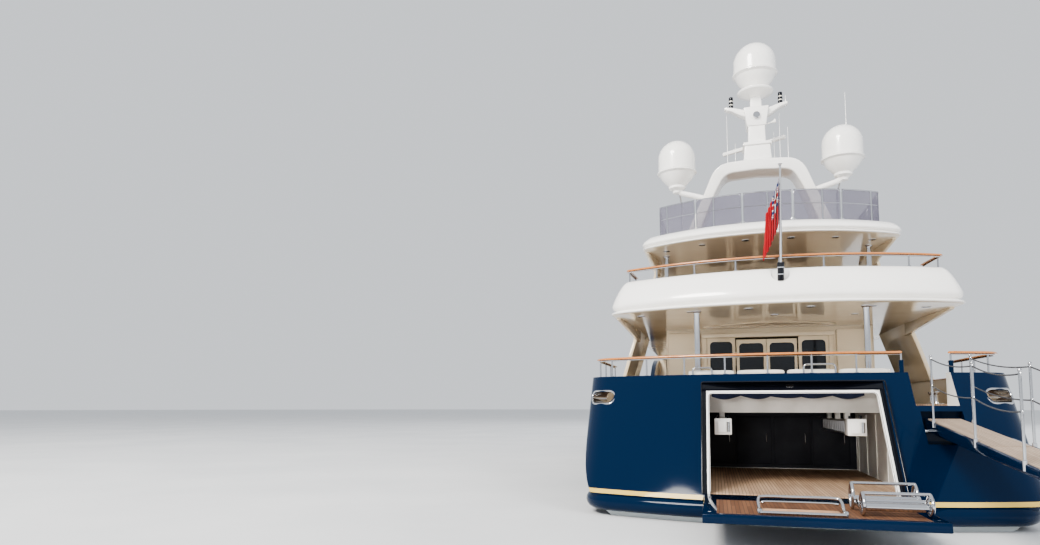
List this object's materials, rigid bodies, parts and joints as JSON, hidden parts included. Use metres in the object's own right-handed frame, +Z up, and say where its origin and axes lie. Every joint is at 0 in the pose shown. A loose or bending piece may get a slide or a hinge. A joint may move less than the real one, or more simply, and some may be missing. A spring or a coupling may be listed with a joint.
{
  "type": "motor yacht, 1:2 scale model",
  "caption": "Scale model of a three-deck motor yacht, afloat, with a navy hull, an open stern garage and platform, a gangway, and domes on a radar arch.",
  "frame": {"origin": "on the waterline and the centre line, below the foot of the transom at the garage floor's level", "axes": "+X to starboard, +Y forward along the keel, +Z up"},
  "size_m": [4.78, 25.275, 9.0437],
  "materials": {
    "navy": "deep navy gloss topcoat",
    "cream": "warm cream-white gloss topcoat",
    "white": "white gloss topcoat",
    "teak_deck": "weathered teak planks with dark caulking",
    "teak_cap": "varnished teak",
    "steel": "polished stainless steel",
    "dark_glass": "dark tinted window glass",
    "tinted_screen": "blue-grey tinted screens in a steel frame",
    "bronze": "cast bronze",
    "ensign_cloth": "woven red bunting",
    "cushion_cloth": "tan outdoor cushion cloth"
  },
  "bodies": {
    "yacht": {"hull": "navy", "lounge_base": "cream", "main_deckhouse": "cream", "upper_deck": "cream", "bridge_house": "cream", "sun_deck": "cream", "garage_lining": "white", "radar_arch": "white", "mast": "white", "side_dome_starboard": "white", "side_dome_port": "white", "top_dome": "white", "main_deck": "teak_deck", "foredeck": "teak_deck", "garage_floor": "teak_deck", "upper_deck_teak": "teak_deck", "sun_deck_teak": "teak_deck", "aft_rail": "teak_cap", "quarter_rail": "teak_cap", "upper_rail": "teak_cap", "aft_pillar_starboard": "steel", "aft_pillar_port": "steel", "sun_pillar_starboard": "steel", "sun_pillar_port": "steel", "ensign_staff": "steel", "bow_rail": "steel", "windlass": "steel", "anchor_starboard": "steel", "anchor_port": "steel", "deckhouse_glass": "dark_glass", "bridge_glass": "dark_glass", "sun_screen": "tinted_screen", "stern_gear_starboard": "bronze", "stern_gear_port": "bronze", "ensign": "ensign_cloth", "sunpad": "cushion_cloth"},
    "stern_door": {"stern_door": "navy", "bathing_ladder": "steel", "boarding_steps": "steel"},
    "passerelle": {"passerelle": "navy", "passerelle_rail_port": "steel", "passerelle_rail_starboard": "steel"},
    "radar_scanner": {"radar_scanner": "white"},
    "saloon_door_starboard": {"saloon_door_starboard": "cream"},
    "saloon_door_port": {"saloon_door_port": "cream"},
    "sky_door_starboard": {"sky_door_starboard": "cream"},
    "sky_door_port": {"sky_door_port": "cream"},
    "bridge_door_starboard": {"bridge_door_starboard": "cream"},
    "bridge_door_port": {"bridge_door_port": "cream"},
    "propeller_starboard": {"propeller_starboard": "bronze"},
    "propeller_port": {"propeller_port": "bronze"},
    "rudder_starboard": {"rudder_starboard": "navy"},
    "rudder_port": {"rudder_port": "navy"}
  },
  "joints": [
    {"name": "stern_door_hinge", "type": "hinge", "parent": "yacht", "child": "stern_door", "pos_m": [0, 0.0592, 0.29], "axis": [-1, 0, 0], "range_deg": [0, 125]},
    {"name": "passerelle_luff", "type": "hinge", "parent": "yacht", "child": "passerelle", "pos_m": [1.495, 0.65, 0.965], "axis": [-1, 0, 0], "range_deg": [-8, 45]},
    {"name": "radar_spin", "type": "hinge", "parent": "yacht", "child": "radar_scanner", "pos_m": [0, 6.2, 6.1], "axis": [0, 0, 1], "continuous": true},
    {"name": "propeller_starboard_spin", "type": "hinge", "parent": "yacht", "child": "propeller_starboard", "pos_m": [0.95, 2.8, -0.975], "axis": [0, 0.9975, 0.0712], "continuous": true},
    {"name": "propeller_port_spin", "type": "hinge", "parent": "yacht", "child": "propeller_port", "pos_m": [-0.95, 2.8, -0.975], "axis": [0, 0.9975, 0.0712], "continuous": true},
    {"name": "rudder_starboard_turn", "type": "hinge", "parent": "yacht", "child": "rudder_starboard", "pos_m": [0.95, 1.75, -0.6], "axis": [0, 0, 1], "range_deg": [-35, 35]},
    {"name": "rudder_port_turn", "type": "hinge", "parent": "yacht", "child": "rudder_port", "pos_m": [-0.95, 1.75, -0.6], "axis": [0, 0, 1], "range_deg": [-35, 35]},
    {"name": "saloon_door_starboard_slide", "type": "slide", "parent": "yacht", "child": "saloon_door_starboard", "axis": [1, 0, 0], "range_m": [0, 0.41]},
    {"name": "saloon_door_port_slide", "type": "slide", "parent": "yacht", "child": "saloon_door_port", "axis": [-1, 0, 0], "range_m": [0, 0.41]},
    {"name": "sky_door_starboard_slide", "type": "slide", "parent": "yacht", "child": "sky_door_starboard", "axis": [1, 0, 0], "range_m": [0, 0.42]},
    {"name": "sky_door_port_slide", "type": "slide", "parent": "yacht", "child": "sky_door_port", "axis": [-1, 0, 0], "range_m": [0, 0.42]},
    {"name": "bridge_door_starboard_hinge", "type": "hinge", "parent": "yacht", "child": "bridge_door_starboard", "pos_m": [1.485, 12.57, 3.1], "axis": [0, 0, 1], "range_deg": [0, 90]},
    {"name": "bridge_door_port_hinge", "type": "hinge", "parent": "yacht", "child": "bridge_door_port", "pos_m": [-1.485, 12.57, 3.1], "axis": [0, 0, -1], "range_deg": [0, 90]}
  ],
  "couplings": [
    {"joint": "rudder_port_turn", "follows": "rudder_starboard_turn", "ratio": 1},
    {"joint": "saloon_door_port_slide", "follows": "saloon_door_starboard_slide", "ratio": 1},
    {"joint": "sky_door_port_slide", "follows": "sky_door_starboard_slide", "ratio": 1}
  ]
}
